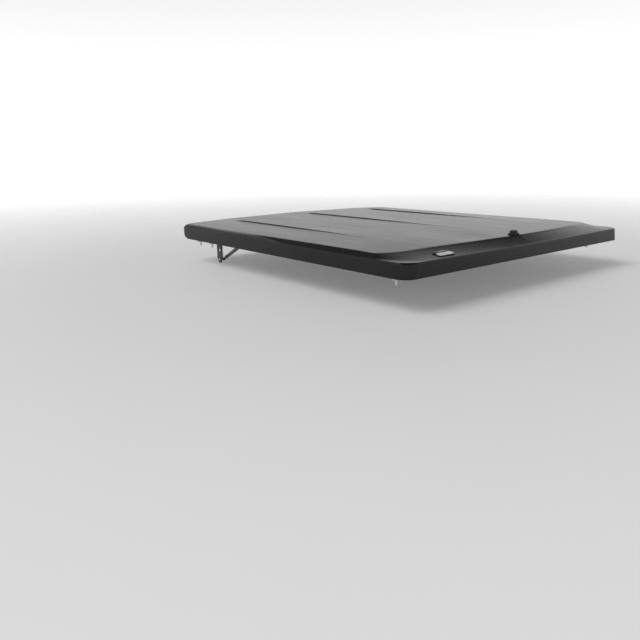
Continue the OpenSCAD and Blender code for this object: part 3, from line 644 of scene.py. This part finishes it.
LOCK_HOLE_R = 14.2 * MM


def liner_mesh():
    """The liner: a thin moulded panel with a field of shallow pressed panels on its underside."""
    low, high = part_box("inner_liner")
    panels_x = [(-0.56, -0.34), (-0.26, -0.04), (0.04, 0.26), (0.34, 0.56)]
    panels_y = [(-0.70, -0.46), (-0.40, -0.16), (-0.10, 0.14), (0.20, 0.44), (0.50, 0.74)]
    xs = sorted({low.x, high.x, *(v for b in panels_x for v in b)})
    ys = sorted({low.y, high.y, *(v for b in panels_y for v in b)})
    bm = bmesh.new()
    grid = [[bm.verts.new((x, y, low.z)) for x in xs] for y in ys]
    for j in range(len(ys) - 1):
        for i in range(len(xs) - 1):
            bm.faces.new((grid[j][i], grid[j + 1][i], grid[j + 1][i + 1], grid[j][i + 1]))
    top = bmesh.ops.extrude_face_region(bm, geom=list(bm.faces))
    for vert in (v for v in top["geom"] if isinstance(v, bmesh.types.BMVert)):
        vert.co.z = high.z
    bm.normal_update()

    def in_panel(face):
        middle = face.calc_center_median()
        return (any(start < middle.x < end for start, end in panels_x)
                and any(start < middle.y < end for start, end in panels_y))

    sunk = [face for face in bm.faces if face.normal.z < -0.9 and in_panel(face)]
    bmesh.ops.inset_individual(bm, faces=sunk, thickness=0.004, depth=0.0)
    bmesh.ops.inset_individual(bm, faces=sunk, thickness=0.003, depth=-0.0013)
    bmesh.ops.recalc_face_normals(bm, faces=bm.faces)
    mesh = bpy.data.meshes.new("liner")
    bm.to_mesh(mesh)
    bm.free()
    obj = bpy.data.objects.new("inner_liner_moulded", mesh)
    bpy.context.scene.collection.objects.link(obj)
    bevel = obj.modifiers.new("edges", "BEVEL")
    bevel.width, bevel.segments, bevel.limit_method = 0.0008, 2, "ANGLE"
    bevel.angle_limit = math.radians(20.0)
    bpy.ops.mesh.primitive_cylinder_add(vertices=48, radius=LOCK_HOLE_R, depth=0.1,
                                        location=(LOCK.x, LOCK.y, 0.01))
    drill = bpy.context.object
    hole = obj.modifiers.new("lock hole", "BOOLEAN")
    hole.object, hole.solver = drill, "EXACT"
    bpy.context.view_layer.update()
    baked(obj)
    bpy.data.objects.remove(drill)
    obj.data.shade_smooth()
    obj.data.set_sharp_from_angle(angle=math.radians(30.0))
    return stands_for(obj, "inner_liner")


liner_mesh()


def lens_mesh():
    """The light's lens: a rounded tray with prism ribs across its lower face."""
    low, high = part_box("light_lens")
    mid, half = (low + high) / 2, (high - low) / 2
    across, along = 49, 13
    bm = bmesh.new()
    grid = []
    for j in range(along):
        row = []
        for i in range(across):
            u, v = 2 * i / (across - 1) - 1, 2 * j / (along - 1) - 1
            edge = max(abs(u) ** 8, abs(v) ** 6)
            dip = 0.0009 * (1 - edge) * abs(math.sin(math.pi * 12 * u)) + 0.0022 * edge
            corner = 1 - 0.05 * (abs(u) * abs(v)) ** 3
            row.append(bm.verts.new((mid.x + u * half.x * corner, mid.y + v * half.y * corner, low.z + dip)))
        grid.append(row)
    for j in range(along - 1):
        for i in range(across - 1):
            bm.faces.new((grid[j][i], grid[j + 1][i], grid[j + 1][i + 1], grid[j][i + 1]))
    top = bmesh.ops.extrude_face_region(bm, geom=list(bm.faces))
    for vert in (v for v in top["geom"] if isinstance(v, bmesh.types.BMVert)):
        vert.co.z = high.z
    bmesh.ops.recalc_face_normals(bm, faces=bm.faces)
    mesh = bpy.data.meshes.new("lens")
    bm.to_mesh(mesh)
    bm.free()
    obj = bpy.data.objects.new("light_lens_ribbed", mesh)
    bpy.context.scene.collection.objects.link(obj)
    obj.data.shade_smooth()
    obj.data.set_sharp_from_angle(angle=math.radians(50.0))
    return stands_for(obj, "light_lens")


lens_mesh()


# ---------------------------------------------------------------- emblem

BADGE_PLACE = (Matrix.Translation((-0.592, -0.882, 0.0497)) @ Matrix.Rotation(math.radians(-0.77), 4, "Y")
               @ Matrix.Rotation(math.radians(12.18), 4, "X"))


def rounded_outline(width, length, radius, cy=0.0, steps=10):
    points = []
    for sx, sy, start in ((1, 1, 0), (-1, 1, 90), (-1, -1, 180), (1, -1, 270)):
        for a in np.radians(start + 90.0 * np.arange(steps + 1) / steps):
            points.append((sx * (width / 2 - radius) + radius * math.cos(a),
                           cy + sy * (length / 2 - radius) + radius * math.sin(a)))
    return points


def arc_row(half, end, top, count=25):
    """Points along a flat arc from (-half, end) over (0, top) to (half, end)."""
    return [(x, top - (top - end) * (x / half) ** 2) for x in np.linspace(-half, half, count)]


def emblem(name, outline_mm, low, high, edge, node, slot):
    """A flat raised shape on the badge, its upper edge rounded."""
    bm = bmesh.new()
    face = bm.faces.new([bm.verts.new((x * MM, y * MM, low * MM)) for x, y in outline_mm])
    raised = bmesh.ops.extrude_face_region(bm, geom=[face])
    caps = [v for v in raised["geom"] if isinstance(v, bmesh.types.BMVert)]
    for vert in caps:
        vert.co.z = high * MM
    rim = [e for e in bm.edges if all(abs(v.co.z - high * MM) < 1e-7 for v in e.verts)]
    bmesh.ops.bevel(bm, geom=rim, offset=edge * MM, segments=3, affect="EDGES", profile=0.5)
    bmesh.ops.recalc_face_normals(bm, faces=bm.faces)
    mesh = bpy.data.meshes.new(name)
    bm.to_mesh(mesh)
    bm.free()
    mesh.transform(BADGE_PLACE)
    obj = bpy.data.objects.new(name, mesh)
    bpy.context.scene.collection.objects.link(obj)
    mesh.shade_smooth()
    mesh.set_sharp_from_angle(angle=math.radians(40.0))
    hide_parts(node)
    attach(obj, BODY_OF[node])
    dress(obj, slot)
    return obj


emblem("badge_tray", rounded_outline(100, 52, 12), 0.0, 2.0, 0.7, "badge", "lock_plastic")
emblem("badge_plate", rounded_outline(92, 26, 7, -9.0), 1.9, 3.0, 0.5, "badge", "badge_metal")
arc_outline = arc_row(36, 8.5, 21.0) + arc_row(36, 7.5, 14.0)[::-1]
emblem("badge_arc", arc_outline, 1.9, 2.9, 0.35, "badge_inlay", "badge_red")


# ---------------------------------------------------------------- studio

scene = bpy.context.scene
scene.view_settings.view_transform = "Standard"


def studio_world():
    """A pale room: an even bright band round the horizon that fades to a dim ceiling."""
    world = bpy.data.worlds.new("room")
    scene.world = world
    world.use_nodes = True
    tree = world.node_tree
    tree.nodes.clear()
    out = tree.nodes.new("ShaderNodeOutputWorld")
    light = tree.nodes.new("ShaderNodeBackground")
    where = tree.nodes.new("ShaderNodeTexCoord")
    split = tree.nodes.new("ShaderNodeSeparateXYZ")
    ramp = tree.nodes.new("ShaderNodeValToRGB")
    stops = [(0.0, 1.0), (0.58, 1.0), (0.66, 0.78), (0.73, 0.28), (0.83, 0.14), (1.0, 0.13)]
    ramp.color_ramp.elements[0].position, ramp.color_ramp.elements[1].position = stops[0][0], stops[-1][0]
    for at, _ in stops[1:-1]:
        ramp.color_ramp.elements.new(at)
    for element, (at, value) in zip(ramp.color_ramp.elements, stops):
        element.position = at
        element.color = (value, value, value, 1.0)
    remap = tree.nodes.new("ShaderNodeMapRange")
    remap.inputs["From Min"].default_value = -1.0
    tree.links.new(where.outputs["Generated"], split.inputs["Vector"])
    tree.links.new(split.outputs["Z"], remap.inputs["Value"])
    tree.links.new(remap.outputs["Result"], ramp.inputs["Fac"])
    tree.links.new(ramp.outputs["Color"], light.inputs["Color"])
    tree.links.new(light.outputs["Background"], out.inputs["Surface"])


def floor(z):
    """A pale floor, lit a little from within, that fades into the room a few metres out."""
    s = Shader("floor_paint").set(Emission_Color=(1.0, 1.0, 1.0, 1.0), Emission_Strength=0.15)
    s.colour(s.blend(s.noise(3.0, 5.0), (0.77, 0.77, 0.77), (0.80, 0.80, 0.80)))
    s.rough(s.remap(s.noise(40.0), 0.3, 0.7, 0.6, 0.7))
    distance = s.node("ShaderNodeVectorMath", operation="LENGTH")
    s.link(s.where, distance.inputs[0])
    s.link(s.remap(distance.outputs["Value"], 1.8, 7.0, 1.0, 0.0), s.bsdf.inputs["Alpha"])
    half = 30.0
    corners = [(-half, -half, z), (half, -half, z), (half, half, z), (-half, half, z)]
    obj = mesh_object("floor", corners, [(0, 1, 2, 3)], False)
    obj.data.materials.append(s.mat)


FLOOR_GAP = 6 * MM
KEY_TOWARDS = Vector((-0.60, 0.20, 0.77))

studio_world()
floor(cad_low.z - FLOOR_GAP)
sun = bpy.data.objects.new("key", bpy.data.lights.new("key", "SUN"))
sun.data.energy = 1.3
sun.data.angle = math.radians(40)
sun.rotation_euler = KEY_TOWARDS.to_track_quat("Z", "Y").to_euler()
scene.collection.objects.link(sun)


CAMERA_PLACE = (-2.595, -2.4865, 0.4456)
CAMERA_YAW, CAMERA_PITCH, CAMERA_ROLL = 38.41, 15.37, -0.87


def camera():
    """The photograph's viewing angle: from behind on the driver's side, a little above the deck."""
    yaw, pitch, roll = math.radians(CAMERA_YAW), math.radians(CAMERA_PITCH), math.radians(CAMERA_ROLL)
    ahead = Vector((math.sin(yaw) * math.cos(pitch), math.cos(yaw) * math.cos(pitch), -math.sin(pitch)))
    right = Vector((math.cos(yaw), -math.sin(yaw), 0.0))
    up = right.cross(ahead)
    right, up = (right * math.cos(roll) + up * math.sin(roll)), (up * math.cos(roll) - right * math.sin(roll))
    data = bpy.data.cameras.new("camera")
    data.lens = 33.73
    data.sensor_width = 36.0
    data.shift_x, data.shift_y = 0.0186, 0.0036
    data.clip_end = 100.0
    cam = bpy.data.objects.new("camera", data)
    turn = Matrix((right, up, -ahead)).transposed()
    cam.matrix_world = Matrix.Translation(CAMERA_PLACE) @ turn.to_4x4()
    scene.collection.objects.link(cam)
    scene.camera = cam


camera()
